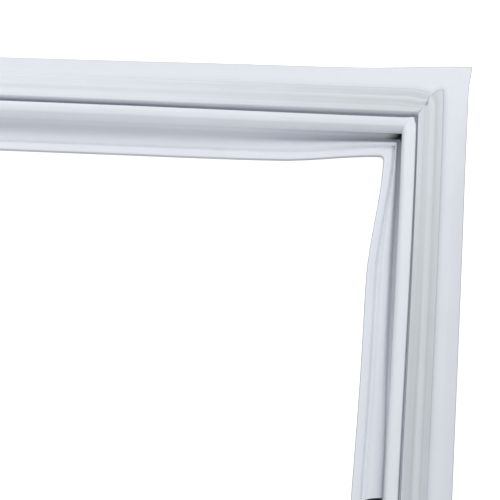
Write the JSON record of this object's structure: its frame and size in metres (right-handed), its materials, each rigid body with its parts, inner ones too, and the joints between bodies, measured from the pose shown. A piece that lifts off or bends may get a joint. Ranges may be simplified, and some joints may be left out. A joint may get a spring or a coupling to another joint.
{
  "type": "refrigerator door gasket",
  "caption": "Rectangular door seal of hollow white soft vinyl with mitre-welded corners: magnet pocket, air roll, outer fin, inner beaded lip and a push-in dart behind.",
  "frame": {"origin": "middle of the frame, on the surface that the tips of the dart stand on", "axes": "+X across the door's width, +Y up the door's height, +Z out of the sealing face towards the cabinet"},
  "size_m": [0.4428, 0.5628, 0.0236],
  "materials": {
    "white_vinyl": "smooth soft satin vinyl, slightly bluish white",
    "magnet_strip": "matt dark brown bonded ferrite"
  },
  "bodies": {
    "root": {"gasket_frame": "white_vinyl", "magnet_strip_right": "magnet_strip", "magnet_strip_top": "magnet_strip", "magnet_strip_left": "magnet_strip", "magnet_strip_bottom": "magnet_strip"}
  },
  "joints": []
}
